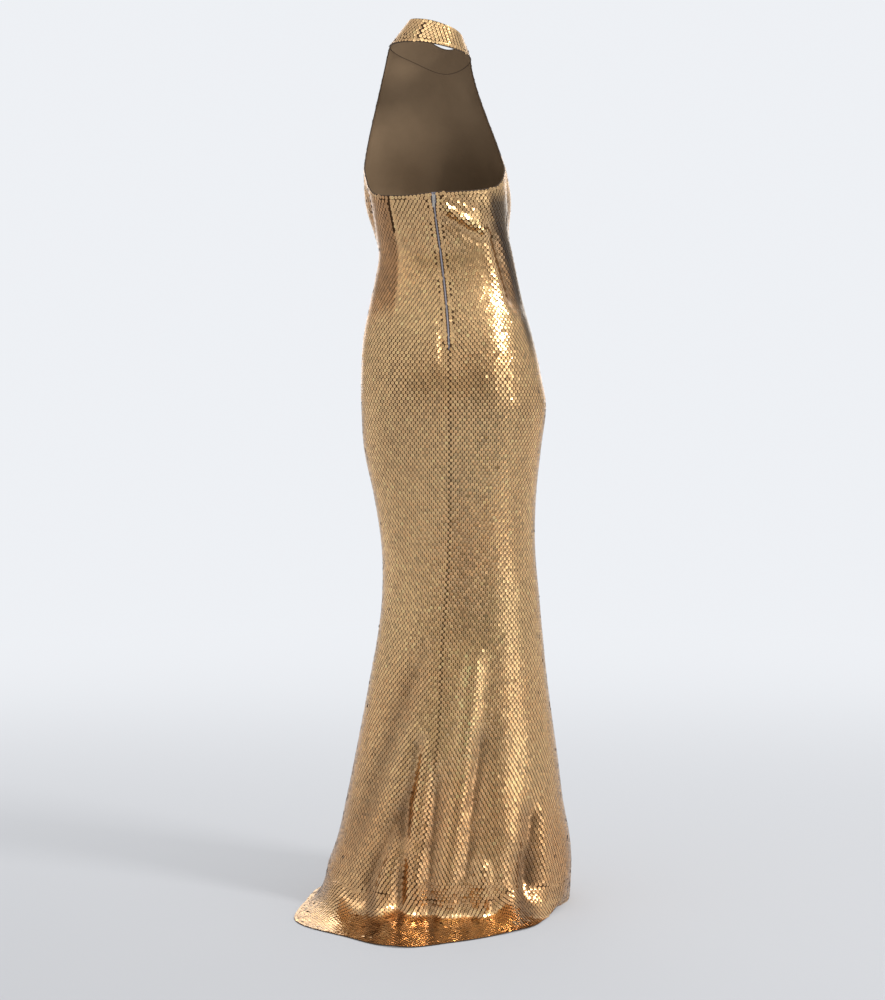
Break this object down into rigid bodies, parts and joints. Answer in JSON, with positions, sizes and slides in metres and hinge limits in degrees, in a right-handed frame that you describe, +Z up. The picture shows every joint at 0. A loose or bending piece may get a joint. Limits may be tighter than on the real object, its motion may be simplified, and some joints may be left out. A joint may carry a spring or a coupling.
{
  "type": "evening gown",
  "caption": "Floor-length sequined evening gown with a halter collar, low bare back, concealed back zip and a small train, worn shape.",
  "frame": {"origin": "middle of the neck inside the halter collar, where the wearer's neck holds the gown", "axes": "+Z up along the wearer, -Y towards the wearer's front, +X towards the wearer's left"},
  "size_m": [0.499, 0.5833, 1.5923],
  "materials": {
    "sequined_cloth": "gold sequins sewn on a knitted ground",
    "zip_tape": "woven, matt, greyish lavender",
    "zip_metal": "plated, satin"
  },
  "bodies": {
    "gown": {"front": "sequined_cloth", "back_left": "sequined_cloth", "back_right": "sequined_cloth", "collar": "sequined_cloth", "zip_tape_left": "zip_tape", "zip_tape_right": "zip_tape", "zip_slider": "zip_metal", "zip_stop": "zip_metal"},
    "pull": {"zip_pull": "zip_metal"}
  },
  "joints": [
    {"name": "pull_swing", "type": "hinge", "parent": "gown", "child": "pull", "pos_m": [-0.0012, 0.06943, -0.28638], "axis": [1, 0, 0], "range_deg": [-5, 160]}
  ]
}
